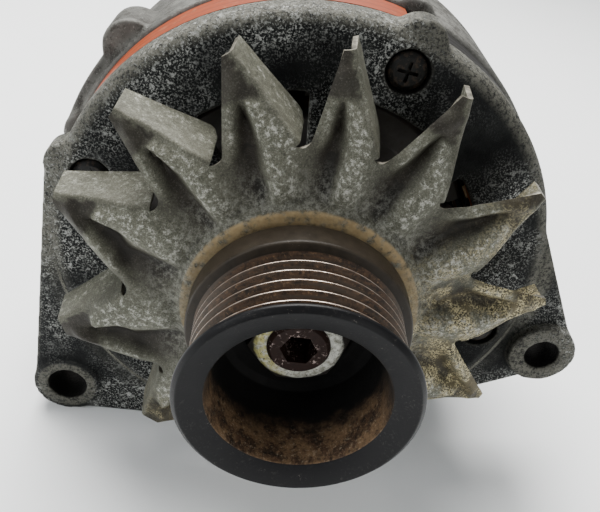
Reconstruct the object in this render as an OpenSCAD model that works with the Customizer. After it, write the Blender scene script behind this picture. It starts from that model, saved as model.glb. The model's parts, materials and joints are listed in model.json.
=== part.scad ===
// Car alternator, claw-pole type, with an outside cooling fan and a ribbed belt pulley.
//
// Every module is written along the shaft: z runs forwards to the pulley, x to the right and y up,
// with z = 0 in the middle of the belt. laid_down() then turns a piece into the part's own frame,
// where the shaft lies along Y, the pulley faces -Y and +Z is up.
// The alternator stands on the flat under both housings, whose height is that of floor_y.

/* [Pulley] */
// Number of belt ribs
rib_count = 6; // [5:1:6]
// Distance from one belt rib to the next
rib_pitch = 3.56; // [3.4:0.01:3.6]
// Diameter over the two flanges
flange_dia = 56.6; // [54.4:0.1:60]
// Diameter over the ridges between the grooves
ridge_dia = 52; // [51:0.1:53]
// Diameter of the deep cup that the nut sits in
cup_dia = 41.2; // [38:0.1:42]

/* [Fan] */
// Diameter over the blade tips
fan_dia = 133.6; // [126:0.1:136]
// Diameter on which the notches between blades end
notch_circle_dia = 91; // [86:0.5:94]
// Thickness of the sheet
fan_sheet = 1.8; // [1.2:0.1:2.2]
// Depth of the vane folded back along each blade
vane_depth = 10; // [6:0.5:11]

/* [Housings] */
// Diameter of the front housing
front_dia = 141; // [140:0.5:142]
// Diameter of the rear housing
rear_dia = 143; // [142:0.5:144]
// Length of laminations left bare between the housings
bare_core = 12; // [8:0.5:12]
// Diameter of the pivot hole
pivot_hole_dia = 12.2; // [10:0.1:12.5]
// Diameter of the adjuster hole
adjuster_hole_dia = 10.5; // [8:0.1:11]

/* [Rotor and stator] */
// Diameter of the rotor over its claws
rotor_dia = 98; // [97:0.1:98.2]
// Diameter of the lamination stack
core_dia = 138.6; // [138:0.1:139]
// Number of stator slots
slot_count = 36; // [24:12:48]
// Pole pairs of the rotor
pole_pairs = 6; // [5:1:6]
// Turns in each brush spring
spring_turns = 5; // [4:1:7]

/* [Hidden] */
$fn = 96;
play = 0.05;     // radial clearance of a running or located fit
past = 1;        // how far a cut runs past the face it opens

// Stations along the shaft, from front to back.
pulley_front = 12.9;
shaft_front = -6.2;
nut_front = -7.6;
washer_front = -14.6;
washer_seat = -16.6;
pulley_back = -19.1;
fan_front = -20.1;
vane_back = fan_front - 8.6 - vane_depth;
hub_nose = -30;
front_bearing_front = -31.5;
face = -44.1;                        // the front housing's face
hub_back = -45.5;
plate_back = -47;
rim_back = -53;
core_front = -51.5;
core_length = 34;
core_back = core_front - core_length;
rear_rim_front = rim_back - bare_core;
disc = 8;                            // thickness of a claw pole's disc
wall_in = -109;                      // inner face of the rear housing's end wall
wall_out = -114;
rear_bearing_front = -108.5;
boss_back = -122.5;

// Radii.
flange_r = flange_dia / 2;
ridge_r = ridge_dia / 2;
cup_r = cup_dia / 2;
fan_r = fan_dia / 2;
notch_r = notch_circle_dia / 2;
hub_r = 27;                          // flat middle of the fan
front_r = front_dia / 2;
rear_r = rear_dia / 2;
core_r = core_dia / 2;
rotor_r = rotor_dia / 2;
bore_r = rotor_r + 0.4;
slot_bottom_r = 56.5;
shaft_r = 8.5;
tail_r = 7.5;                        // the shaft behind the rotor
thread_r = 7.8;
slip_r = 14;
pole_core_r = 25;
floor_y = -front_r;

// Bolts and ears, seen from the pulley's end.
bolt_circle_r = 61.2;
bolt_angles = [72.7, 162.7, 252.7, 342.7];
bolt_r = 2.45;
lug_circle_r = 67.3;                 // centres of the lugs that carry the bolts
lug_r = 7;
pivot_ear_r = 10.8;
pivot_ear = [-67.6, floor_y + pivot_ear_r - 0.1];
adjuster_ear_r = 10.5;
adjuster_ear = [79.7, -23.2];
web_r = 68.2;                        // where the webs to the ears start, inside the rim
boss_r = 4.4;                        // boss around a bolt, inside the rim
inner_lug_r = lug_r - 1.5;

// Fan blades are spaced unevenly, which spreads the pitch of the fan's whine.
blade_angles = [20.3, 49.3, 74.3, 97.3, 123.3, 147.8, 182.8, 219.3, 252.3, 285.3, 318.3, 351.3];
tip_turn = 14;                       // turn of a blade's tip against its notch
tip_width = 2.2;                     // the blunt tip's width, as a turn

// A bearing is [bore, outside, width, ball circle, ball radius, balls], all radii.
front_bearing = [shaft_r, 23.5, 14, 16, 4.3, 8];
rear_bearing = [tail_r, 17.5, 11, 12.5, 2.9, 8];

function polar(r, a) = [r * cos(a), r * sin(a)];
function arc(c, r, from, step, to) = [for (a = [from : step : to]) c + polar(r, a)];
// Touch points of the outside tangent of two circles. side is 1 or -1.
function tangent(c1, r1, c2, r2, side) =
    let (d = c2 - c1)
    let (turn = atan2(d[1], d[0]) + side * acos((r1 - r2) / norm(d)))
    [c1 + polar(r1, turn), c2 + polar(r2, turn)];
// Front face of the fan's sheet at radius r: a flat hub, then two cones.
function fan_z(r) = r < hub_r ? fan_front
    : r < notch_r ? fan_front - 5.8 * (r - hub_r) / (notch_r - hub_r)
    : fan_front - 5.8 - 2.8 * (r - notch_r) / (fan_r - notch_r);

module laid_down() { rotate([90, 0, 0]) children(); }
module at(p, z = 0) { translate([p[0], p[1], z]) children(); }
module around(r, a, z = 0) { rotate([0, 0, a]) translate([r, 0, z]) children(); }
// A tube or disc from station z0 forwards to station z1.
module tube(r_out, r_in, z0, z1) {
    difference() {
        translate([0, 0, z0]) cylinder(r = r_out, h = z1 - z0);
        translate([0, 0, z0 - past]) cylinder(r = r_in, h = z1 - z0 + 2 * past);
    }
}
module rod(r, z0, z1) { translate([0, 0, z0]) cylinder(r = r, h = z1 - z0); }
module slab(z0, z1) { translate([0, 0, z0]) linear_extrude(z1 - z0) children(); }
// Outline of two circles and their outside tangents.
module link(c1, r1, c2, r2) {
    a = tangent(c1, r1, c2, r2, 1);
    b = tangent(c1, r1, c2, r2, -1);
    polygon([a[0], a[1], b[1], b[0]]);
    translate(c1) circle(r = r1);
    translate(c2) circle(r = r2);
}
// Part of a ring between two radii and two angles.
module ring_part(r_in, r_out, from, to) {
    step = (to - from) / 12;
    polygon(concat(arc([0, 0], r_out, from, step, to + step / 2),
                   arc([0, 0], r_in, to, -step, from - step / 2)));
}
module above_floor() {
    intersection() {
        children();
        translate([-100, floor_y, -150]) cube([200, 200, 150]);
    }
}

// ---- Front housing ----

// Section of the front housing: bearing hub, dished face and rounded rim.
module front_section() {
    polygon([
        [20, hub_nose], [28.5, hub_nose], [30, hub_nose - 1.5], [32, face + 2], [34, face + 0.6],
        [50, face],
        [front_r - 2.8, face], [front_r - 1, face - 0.8], [front_r - 0.2, face - 2.4], [front_r, face - 3],
        [front_r, rim_back], [core_r + play, rim_back], [core_r + play, core_front], [66, core_front],
        [66, plate_back - 1.5], [64.5, plate_back], [33.5, plate_back], [32, hub_back],
        [23.5 + play, hub_back], [23.5 + play, front_bearing_front], [20, front_bearing_front]]);
}

// Bosses that the through bolts pass, from the bolt out into the lug.
module bolt_bosses() {
    for (a = bolt_angles) link(polar(bolt_circle_r, a), boss_r, polar(lug_circle_r - 2, a), inner_lug_r);
}
module outer_lugs() {
    for (a = bolt_angles) translate(polar(lug_circle_r, a)) circle(r = lug_r);
}

module front_housing() laid_down() color([0.36, 0.36, 0.34]) difference() {
    above_floor() union() {
        rotate_extrude() front_section();
        slab(core_front, face - 1.6) bolt_bosses();
        difference() {
            slab(rim_back, face - 1.1) {
                outer_lugs();
                link([0, 0], web_r, pivot_ear, pivot_ear_r - 0.5);
                link([0, 0], web_r, adjuster_ear, adjuster_ear_r - 0.5);
                link(polar(lug_circle_r, bolt_angles[1]), lug_r - 0.4, pivot_ear, pivot_ear_r - 0.3);
                polygon([[pivot_ear[0], floor_y - past], [13, floor_y - past], [22, -65], [-40, -50]]);
            }
            rod(web_r - 0.7, rim_back - past, face);
        }
        at(pivot_ear, rim_back - 5) cylinder(r = pivot_ear_r, h = face - rim_back + 5);
        at(adjuster_ear, rim_back - 3) cylinder(r = adjuster_ear_r, h = face + 2.5 - rim_back + 3);
    }
    slab(rim_back - 6, face + 5) for (i = [0:7]) ring_part(34.5, 50.5, 45 * i + 5.2, 45 * i + 39.8);
    for (a = bolt_angles) around(bolt_circle_r, a) {
        rod(2.8, rim_back - past, face);
        rod(5.6, face - 2.5, face + past);
    }
    rod(core_r + play, rim_back - 8, core_front);
    at(pivot_ear, rim_back - 8) cylinder(r = pivot_hole_dia / 2, h = 22);
    at(adjuster_ear, rim_back - 8) cylinder(r = adjuster_hole_dia / 2, h = 24);
    for (i = [0:3]) around(27.5, 45 + 90 * i) rod(1.9, hub_back - past, hub_back + 9);
}

module bearing_retainer() laid_down() color([0.6, 0.6, 0.58]) difference() {
    tube(31.5, 20, hub_back - 2, hub_back);
    for (i = [0:3]) around(27.5, 45 + 90 * i) rod(2.2, hub_back - 3, hub_back + past);
}

module retainer_screws() laid_down() color([0.5, 0.5, 0.48])
    for (i = [0:3]) around(27.5, 45 + 90 * i) difference() {
        union() {
            rod(3.4, hub_back - 3.9, hub_back - 2);
            rod(1.85, hub_back - 3, hub_back + 8);
        }
        for (turn = [0, 90]) rotate([0, 0, turn]) translate([-2.2, -0.4, hub_back - 5]) cube([4.4, 0.8, 2]);
    }

// ---- Rear housing ----

corner = 12;                         // radius of the bowl's outer corner
wall = 5;
rear_ear_back = -106;
rear_ear_front = -90;
vent_angles = [15, 165, 195, 225, 255, 285, 315, 345];
regulator_screw_places = [[-21, 32], [21, 32]];
output_place = polar(50, 210);
lamp_place = polar(50, 240);
rectifier_screw_places = [polar(50, 285), polar(50, 345)];

// Section of the rear housing: a bowl with the rear bearing's boss in its end wall.
module rear_section() {
    c = [rear_r - corner, wall_out + corner];
    polygon(concat(
        [[core_r + play, rear_rim_front], [rear_r, rear_rim_front]],
        arc(c, corner, 0, -10, -90),
        [[22.5, wall_out], [22, boss_back + 1], [21, boss_back], [0, boss_back], [0, boss_back + 1.2],
         [19, boss_back + 1.2], [19, wall_in + 1.5], [21.5, wall_in + 1.5], [21.5, wall_in]],
        arc(c, corner - wall, -90, 10, 0),
        [[rear_r - wall, core_back], [core_r + play, core_back]]));
}

module rear_housing() laid_down() color([0.42, 0.42, 0.4]) difference() {
    above_floor() union() {
        rotate_extrude() rear_section();
        slab(core_back - 15, core_back) bolt_bosses();
        difference() {
            union() {
                slab(core_back - 16, rear_rim_front) outer_lugs();
                slab(core_back - 14, rear_rim_front - 2)
                    polygon([[-13, floor_y - past], [13, floor_y - past], [21, -66], [-21, -66]]);
                slab(rear_ear_back, rear_ear_front) link([0, 0], rear_r - 1, pivot_ear, pivot_ear_r);
                around(70, 138.5) rod(8, -81, -67);
                slab(-80, -67.5) ring_part(rear_r - 1, rear_r + 2.6, 140, 162);
            }
            rod(rear_r - 2, core_back - 30, rear_rim_front + past);
        }
    }
    rod(core_r + play, core_back, rear_rim_front + past);
    for (a = bolt_angles) around(bolt_circle_r, a) rod(2.5, core_back - 12, core_back + past);
    at(pivot_ear, rear_ear_back - past) cylinder(r = 8 + play, h = 20);
    for (a = vent_angles) {
        slab(wall_out - past, wall_in + past) ring_part(28, 43, a - 10.5, a + 10.5);
        if (a != 225) rotate([0, 0, a]) translate([rear_r - 9, -4, wall_out - past]) cube([16, 8, 12.2]);
    }
    translate([-13.2, 23, wall_out - past]) cube([26.4, 15.4, wall + 2 * past]);
    at(output_place) rod(6, wall_out - past, wall_in + past);
    at(lamp_place) rod(4, wall_out - past, wall_in + past);
    for (p = regulator_screw_places) at(p) rod(2, wall_out - past, wall_in + past);
    for (p = rectifier_screw_places) at(p) rod(2, wall_out - past, wall_in + past);
}

module pivot_bush() laid_down() color([0.55, 0.54, 0.5]) at(pivot_ear) difference() {
    rod(8, rear_ear_back - 2, rear_ear_front + 3);
    rod(pivot_hole_dia / 2, rear_ear_back - 3, rear_ear_front + 4);
}

module rear_bearing_sleeve() laid_down() color([0.12, 0.12, 0.12])
    tube(19 - play, rear_bearing[1] + play, rear_bearing_front - rear_bearing[2], rear_bearing_front);

module through_bolts() laid_down() color([0.14, 0.13, 0.12])
    for (a = bolt_angles) around(bolt_circle_r, a) difference() {
        union() {
            rod(bolt_r, core_back - 10, face - 2.5);
            rod(4.9, face - 2.5, face - 1.3);
            translate([0, 0, face - 1.3]) cylinder(r1 = 4.9, r2 = 3.6, h = 1);
        }
        for (turn = [10, 100]) rotate([0, 0, turn])
            translate([-2.6, -0.45, face - 1.9]) cube([5.2, 0.9, 3]);
    }

// ---- Stator ----

module slots() { for (i = [0:slot_count - 1]) rotate([0, 0, i * 360 / slot_count]) children(); }
slot_half = 0.44 * PI * bore_r / slot_count;     // half of a slot's width
bare_r = front_r - 0.15;             // the stack where no housing covers it

module stator_core() laid_down() color([0.72, 0.33, 0.18]) difference() {
    union() {
        tube(core_r, bore_r, core_back, core_front);
        tube(bare_r, bore_r + 5, rear_rim_front + play, rim_back - play);
    }
    slots() translate([bore_r - 1, -slot_half, core_back - past])
        cube([slot_bottom_r - bore_r + 1, 2 * slot_half, core_length + 2 * past]);
    for (a = bolt_angles) rotate([0, 0, a]) slab(core_back - past, core_front + past) {
        translate([bolt_circle_r, 0]) circle(r = 3.3);
        translate([bolt_circle_r, -3.3]) square([12, 6.6]);
    }
}

module slot_liners() laid_down() color([0.75, 0.62, 0.42]) slots() difference() {
    translate([bore_r + 0.4, -slot_half, core_back - 0.6])
        cube([slot_bottom_r - bore_r - 0.4, 2 * slot_half, core_length + 1.2]);
    translate([bore_r, 0.3 - slot_half, core_back - past])
        cube([slot_bottom_r - bore_r - 0.3, 2 * slot_half - 0.6, core_length + 2 * past]);
}

module stator_winding() laid_down() color([0.72, 0.38, 0.18]) {
    slots() translate([bore_r + 0.8, 0.35 - slot_half, core_back - 2])
        cube([slot_bottom_r - bore_r - 1.2, 2 * slot_half - 0.7, core_length + 4]);
    tube(slot_bottom_r - 0.2, bore_r + 1, core_front + 0.8, plate_back - 0.3);
    tube(slot_bottom_r - 0.2, bore_r + 1, core_back - 8.5, core_back - 0.8);
}

// ---- Bearings ----

module race(b, front, r_out, r_in) {
    difference() {
        tube(r_out, r_in, front - b[2], front);
        translate([0, 0, front - b[2] / 2]) rotate_extrude() translate([b[3], 0]) circle(r = b[4] + play);
    }
}
module outer_ring(b, front) {
    shoulder = b[3] + b[4] * 0.55;
    color([0.75, 0.75, 0.77]) difference() {
        race(b, front, b[1], shoulder);
        rod(shoulder + 0.6, front - 1.4, front - 0.4);
        rod(shoulder + 0.6, front - b[2] + 0.4, front - b[2] + 1.4);
    }
}
module inner_ring(b, front) { color([0.75, 0.75, 0.77]) race(b, front, b[3] - b[4] * 0.55, b[0]); }
module ball_ring(b, front, r) {
    for (i = [0:b[5] - 1]) around(b[3], i * 360 / b[5], front - b[2] / 2) sphere(r = r);
}
module cage(b, front) {
    middle = front - b[2] / 2;
    color([0.7, 0.55, 0.3]) difference() {
        tube(b[3] + b[4] * 0.35, b[3] - b[4] * 0.35, middle - b[4] * 0.75, middle + b[4] * 0.75);
        ball_ring(b, front, b[4] + play);
    }
}

module front_bearing_outer_ring() laid_down() outer_ring(front_bearing, front_bearing_front);
module front_bearing_inner_ring() laid_down() inner_ring(front_bearing, front_bearing_front);
module front_bearing_balls() laid_down() color([0.85, 0.85, 0.87])
    ball_ring(front_bearing, front_bearing_front, front_bearing[4]);
module front_bearing_cage() laid_down() cage(front_bearing, front_bearing_front);
module front_bearing_shields() laid_down() color([0.35, 0.35, 0.36])
    for (z = [front_bearing_front - 1.3, front_bearing_front - front_bearing[2] + 0.5])
        tube(18.8, 13.95, z, z + 0.8);
module rear_bearing_outer_ring() laid_down() outer_ring(rear_bearing, rear_bearing_front);
module rear_bearing_inner_ring() laid_down() inner_ring(rear_bearing, rear_bearing_front);
module rear_bearing_balls() laid_down() color([0.85, 0.85, 0.87])
    ball_ring(rear_bearing, rear_bearing_front, rear_bearing[4]);
module rear_bearing_cage() laid_down() cage(rear_bearing, rear_bearing_front);

// ---- Rotor ----

module shaft() laid_down() color([0.5, 0.36, 0.3]) difference() {
    union() {
        rod(thread_r, washer_seat, shaft_front - 0.9);
        translate([0, 0, shaft_front - 0.9]) cylinder(r1 = thread_r, r2 = thread_r - 0.9, h = 0.9);
        rod(shaft_r, core_back - 4, washer_seat);
        rod(tail_r, rear_bearing_front - rear_bearing[2] - 0.5, core_back - 3);
    }
    translate([0, 0, shaft_front - 12]) cylinder(r = 8 / sqrt(3), h = 14, $fn = 6);
}

// A disc with one claw to each pole pair, built backwards from station 0.
module claw_pole() {
    reach = 29;
    half_root = 12.5;
    half_tip = 4.5;
    tube(rotor_r - 9, shaft_r, -disc, 0);
    intersection() {
        rotate_extrude() polygon([
            [24, -0.6], [rotor_r - 1.5, -0.6], [rotor_r, -2.1], [rotor_r, 1 - reach], [rotor_r - 1, -reach],
            [rotor_r - 4.5, -reach], [rotor_r - 10.5, 1 - disc], [24, 1 - disc]]);
        for (i = [0:pole_pairs - 1]) rotate([0, 0, i * 360 / pole_pairs])
            translate([30, 0, 0]) rotate([90, 0, 90]) linear_extrude(24)
                polygon([[-half_root, past], [half_root, past], [half_root, -disc - 1],
                         [half_tip, -reach - past], [-half_tip, -reach - past], [-half_root, -disc - 1]]);
    }
}
module front_claw_pole() laid_down() color([0.33, 0.33, 0.34]) translate([0, 0, core_front]) claw_pole();
module rear_claw_pole() laid_down() color([0.33, 0.33, 0.34])
    translate([0, 0, core_back]) mirror([0, 0, 1]) rotate([0, 0, 180 / pole_pairs]) claw_pole();
module pole_core() laid_down() color([0.3, 0.3, 0.3])
    tube(pole_core_r, shaft_r, core_back + disc, core_front - disc);

module field_bobbin() laid_down() color([0.1, 0.1, 0.1]) {
    tube(26.2, pole_core_r, core_back + disc, core_front - disc);
    tube(38.5, pole_core_r, core_front - disc - 1.2, core_front - disc);
    tube(38.5, pole_core_r, core_back + disc, core_back + disc + 1.2);
}
module field_coil() laid_down() color([0.72, 0.38, 0.18])
    tube(37.5, 26.2, core_back + disc + 1.2, core_front - disc - 1.2);

module slip_ring_pair() {
    tube(slip_r, 11, -98, -93);
    tube(slip_r, 11, -106, -101);
}
module slip_rings() laid_down() color([0.75, 0.5, 0.3]) slip_ring_pair();
module slip_ring_carrier() laid_down() color([0.35, 0.1, 0.06]) difference() {
    tube(slip_r - 1, tail_r, rear_bearing_front, -90);
    slip_ring_pair();
}
module inner_spacer() laid_down() color([0.55, 0.55, 0.53])
    tube(11.5, shaft_r, core_front, front_bearing_front - front_bearing[2]);
module outer_spacer() laid_down() color([0.6, 0.5, 0.3])
    tube(11.5, shaft_r, front_bearing_front, fan_front - fan_sheet);

// ---- Fan and pulley ----

function fold_start(a) = polar(notch_r, a);
function fold_end(a) = polar(fan_r, a + tip_turn);

// Seen from the front: petals with a folded edge clockwise and a bare edge anticlockwise.
module fan_outline() {
    difference() {
        polygon([for (a = blade_angles)
            each [fold_start(a), fold_end(a), polar(fan_r, a + tip_turn + tip_width)]]);
        for (a = blade_angles) translate(polar(notch_r + 0.6, a - 0.6)) circle(r = 1.5);
        circle(r = shaft_r);
    }
}
module fan() laid_down() color([0.5, 0.48, 0.42]) {
    intersection() {
        rotate_extrude() polygon([
            [0, fan_front], [hub_r, fan_front], [notch_r, fan_z(notch_r)], [fan_r, fan_z(fan_r)],
            [fan_r, fan_z(fan_r) - fan_sheet], [notch_r, fan_z(notch_r) - fan_sheet],
            [hub_r, fan_front - fan_sheet], [0, fan_front - fan_sheet]]);
        slab(vane_back, 0) fan_outline();
    }
    intersection() {
        rotate_extrude() polygon([
            [notch_r, fan_z(notch_r)], [fan_r, fan_z(fan_r)], [fan_r + 1.2, vane_back],
            [notch_r + 3, vane_back], [notch_r, vane_back + 4]]);
        for (a = blade_angles) {
            run = fold_end(a) - fold_start(a);
            at(fold_start(a), vane_back) rotate([0, 0, atan2(run[1], run[0])]) translate([2.4, 0, 0])
                cube([norm(run) + 3, fan_sheet, vane_depth + 9]);
        }
    }
}

module pulley() laid_down() color([0.17, 0.17, 0.17]) {
    groove_r = ridge_r - 2.7;
    first = (rib_count - 1) / 2 * rib_pitch;
    rotate_extrude() polygon([
        [shaft_r, washer_seat], [14, washer_seat], [14, -14.2], [15, -13.6], [cup_r - 2, -13.6],
        [cup_r - 0.9, -12.4],
        [cup_r, 7.5], [cup_r + 0.6, 10.2], [flange_r - 1.2, pulley_front],
        [flange_r, pulley_front - 1], [flange_r, first + rib_pitch / 2 + 0.1],
        for (i = [0 : rib_count - 1]) each let (c = first - i * rib_pitch)
            [[ridge_r, c + rib_pitch / 2 - 0.25], [groove_r, c + 0.42], [groove_r, c - 0.42],
             [ridge_r, c - rib_pitch / 2 + 0.25]],
        [flange_r, -first - rib_pitch / 2 - 0.3], [flange_r, pulley_back + 0.8],
        [flange_r - 0.8, pulley_back],
        [20, pulley_back], [20, fan_front], [shaft_r, fan_front]]);
}
module pulley_washer() laid_down() color([0.5, 0.5, 0.48]) tube(12.6, thread_r, washer_seat, washer_front);
module pulley_nut() laid_down() color([0.75, 0.74, 0.68]) difference() {
    intersection() {
        translate([0, 0, washer_front]) rotate([0, 0, 12])
            cylinder(r = 22 / sqrt(3), h = nut_front - washer_front, $fn = 6);
        rotate_extrude() polygon([
            [0, washer_front], [12.7, washer_front], [12.7, nut_front - 1.5], [10, nut_front],
            [0, nut_front]]);
    }
    rod(thread_r, washer_front - past, nut_front + past);
}

// ---- Rectifier and terminals ----

sheet = 3;                           // thickness of a heat sink
positive_z = -101.5;
negative_z = wall_in;
positive_diode_angles = [192, 262, 322];
negative_diode_angles = [227, 292, 352];
diode_circle_r = 39;
board_z = positive_z + sheet;

module heat_sink(z, from, to, diode_angles) {
    slab(z, z + sheet) difference() {
        ring_part(30, 57, from, to);
        for (a = diode_angles) translate(polar(diode_circle_r, a)) circle(r = 6.3);
        children();
    }
}
module positive_heat_sink() laid_down() color([0.7, 0.7, 0.7])
    heat_sink(positive_z, 180, 360, positive_diode_angles) {
        for (p = rectifier_screw_places) translate(p) circle(r = 3.6);
        translate(output_place) circle(r = 4);
    }
module negative_heat_sink() laid_down() color([0.62, 0.62, 0.62])
    heat_sink(negative_z, 222, 360, negative_diode_angles) {
        for (p = rectifier_screw_places) translate(p) circle(r = 2.2);
        translate(lamp_place) circle(r = 6);
        // Clear of the end wall's vents, so that air reaches the diodes.
        for (a = vent_angles) ring_part(29, 32.5, a - 6, a + 6);
    }
// Press-fit diodes: a cup, a seal and a lead.
module diodes(angles) {
    for (a = angles) around(diode_circle_r, a) {
        rod(6.3, 0, 4);
        rod(5.3, 4, 4.8);
        rod(0.9, 4, 7);
    }
}
module positive_diodes() laid_down() color([0.25, 0.25, 0.26])
    translate([0, 0, positive_z - 1]) diodes(positive_diode_angles);
module negative_diodes() laid_down() color([0.25, 0.25, 0.26])
    translate([0, 0, negative_z]) diodes(negative_diode_angles);
module terminal_board() laid_down() color([0.3, 0.16, 0.1]) slab(board_z, board_z + 2) difference() {
    ring_part(46, 57, 222, 354);
    for (p = rectifier_screw_places) translate(p) circle(r = 3.6);
}
module exciter_diodes() laid_down() color([0.1, 0.1, 0.1])
    for (a = [235, 255, 312]) around(51, a, board_z + 2) translate([-1.8, -3.4, 0]) cube([3.6, 6.8, 2]);
module rectifier_spacers() laid_down() color([0.82, 0.78, 0.68])
    for (p = rectifier_screw_places) at(p) {
        tube(3.55, 1.95, positive_z, board_z + 2);
        tube(5.2, 1.95, negative_z + sheet, positive_z);
    }
module rectifier_screws() laid_down() color([0.6, 0.6, 0.58])
    for (p = rectifier_screw_places) at(p) difference() {
        union() {
            rod(3.5, board_z + 2, board_z + 4);
            rod(1.9, wall_out + 0.5, board_z + 3);
        }
        for (turn = [0, 90]) rotate([0, 0, turn]) translate([-2.2, -0.4, board_z + 3]) cube([4.4, 0.8, 2]);
    }

stud_r = 3.95;
stud_back = -134;
stud_groove = wall_out - 13.4;       // thread run-out at the outer nut's face
module output_stud() laid_down() color([0.72, 0.62, 0.4]) at(output_place) {
    rod(stud_r, stud_back + 1, stud_groove - 0.7);
    rod(stud_r - 0.5, stud_groove - 1, stud_groove);
    rod(stud_r, stud_groove, board_z + 1);
    translate([0, 0, stud_back]) cylinder(r1 = stud_r - 1, r2 = stud_r, h = 1);
    rod(7, board_z, board_z + 2.5);
}
module output_insulator() laid_down() color([0.08, 0.08, 0.08]) at(output_place) {
    tube(5.9, stud_r, wall_out - 2, positive_z);
    tube(9.5, stud_r, wall_out - 3, wall_out);
}
module output_nuts() laid_down() color([0.7, 0.66, 0.5])
    for (z = [wall_out - 8, wall_out - 13.5]) at(output_place, z) difference() {
        cylinder(r = 13 / sqrt(3), h = 5, $fn = 6);
        translate([0, 0, -past]) cylinder(r = stud_r, h = 5 + 2 * past);
    }
module lamp_terminal() laid_down() color([0.72, 0.62, 0.4]) at(lamp_place) {
    rod(2.45, -126, wall_in + 3);
    rod(4.5, wall_in + 1, wall_in + 3);
    translate([0, 0, wall_out - 5]) cylinder(r = 8 / sqrt(3), h = 3.5, $fn = 6);
}
module lamp_insulator() laid_down() color([0.08, 0.08, 0.08]) at(lamp_place) {
    tube(3.9, 2.45, wall_out - 1, wall_in + 1);
    tube(6.5, 2.45, wall_out - 1.5, wall_out);
    tube(5.6, 2.45, wall_in, wall_in + 1);
}

// ---- Regulator and brushes ----

brush_stations = [-95.5, -103.5];
brush_w = 4.4;
brush_half = 3.45;
brush_low = slip_r - 1;
brush_high = 26.5;
well_top = 34;
module regulator() laid_down() color([0.07, 0.07, 0.07]) difference() {
    union() {
        translate([-27, 23.4, wall_out - 4]) cube([54, 18.6, 4]);
        translate([-15, 23.4, wall_out - 11]) cube([30, 22.6, 7.5]);
    }
    for (p = regulator_screw_places) at(p) rod(2.2, wall_out - 6, wall_out + past);
}
module regulator_heat_sink() laid_down() color([0.66, 0.66, 0.66]) {
    translate([-14, 24.5, wall_out - 12.6]) cube([28, 20.5, 1.6]);
    for (i = [0:6]) translate([-14 + i * 4.4, 24.5, wall_out - 16.6]) cube([1.6, 20.5, 4.5]);
}
module regulator_screws() laid_down() color([0.6, 0.6, 0.58])
    for (p = regulator_screw_places) at(p) difference() {
        union() {
            rod(4, wall_out - 6.2, wall_out - 4);
            rod(1.95, wall_out - 5, wall_in - 0.5);
        }
        for (turn = [20, 110]) rotate([0, 0, turn])
            translate([-2.6, -0.45, wall_out - 7]) cube([5.2, 0.9, 1.9]);
    }
module brush_holder() laid_down() color([0.16, 0.1, 0.08]) difference() {
    union() {
        translate([-6, slip_r + 3, -106.8]) cube([12, well_top + 2 - slip_r - 3, 15]);
        translate([-12.5, 24, wall_out]) cube([25, 12, 8]);
    }
    for (z = brush_stations) translate([-brush_half - 0.15, slip_r, z - brush_w / 2 - 0.15])
        cube([2 * brush_half + 0.3, well_top - slip_r, brush_w + 0.3]);
}
module brush(z) {
    color([0.2, 0.2, 0.21]) difference() {
        translate([-brush_half, brush_low, z - brush_w / 2])
            cube([2 * brush_half, brush_high - brush_low, brush_w]);
        rod(slip_r + 0.1, -108, -90);
    }
}
// Each spring stands on its brush and pushes against the top of the well. Its turns are plain
// rings with a post from each to the next.
module brush_spring(z) {
    wire_r = 0.35;
    coil_r = 1.5;
    step = (well_top - brush_high - 2 * wire_r) / (spring_turns - 1);
    color([0.7, 0.7, 0.7]) translate([0, brush_high + wire_r, z]) rotate([-90, 0, 0]) {
        for (i = [0:spring_turns - 1]) translate([0, 0, i * step]) rotate_extrude()
            translate([coil_r, 0]) circle(r = wire_r);
        for (i = [0:spring_turns - 2])
            around(coil_r, 180 * i, i * step) cylinder(r = wire_r * 0.8, h = step);
    }
}
module front_brush() laid_down() brush(brush_stations[0]);
module rear_brush() laid_down() brush(brush_stations[1]);
module front_brush_spring() laid_down() brush_spring(brush_stations[0]);
module rear_brush_spring() laid_down() brush_spring(brush_stations[1]);

front_housing();
rear_housing();
stator_core();
stator_winding();
slot_liners();
through_bolts();
front_bearing_outer_ring();
front_bearing_inner_ring();
front_bearing_balls();
front_bearing_cage();
front_bearing_shields();
bearing_retainer();
retainer_screws();
rear_bearing_outer_ring();
rear_bearing_inner_ring();
rear_bearing_balls();
rear_bearing_cage();
rear_bearing_sleeve();
pivot_bush();
shaft();
front_claw_pole();
rear_claw_pole();
pole_core();
field_bobbin();
field_coil();
slip_rings();
slip_ring_carrier();
inner_spacer();
outer_spacer();
fan();
pulley();
pulley_washer();
pulley_nut();
positive_heat_sink();
negative_heat_sink();
positive_diodes();
negative_diodes();
exciter_diodes();
terminal_board();
rectifier_spacers();
rectifier_screws();
output_stud();
output_insulator();
output_nuts();
lamp_terminal();
lamp_insulator();
regulator();
regulator_heat_sink();
regulator_screws();
brush_holder();
front_brush();
rear_brush();
front_brush_spring();
rear_brush_spring();
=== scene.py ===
"""Looks of the car alternator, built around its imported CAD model.

Shapes here are in millimetres and turned to metres when a mesh is made. The shaft lies along Y, the pulley
faces -Y and +Z is up. A place on a piece is often given as a radius and an angle round the shaft, the angle
running from +X towards +Z as seen from the pulley's end.
"""

import json
import math

import bmesh
import bpy
from mathutils import Matrix, Vector
from mathutils.geometry import delaunay_2d_cdt


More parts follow.
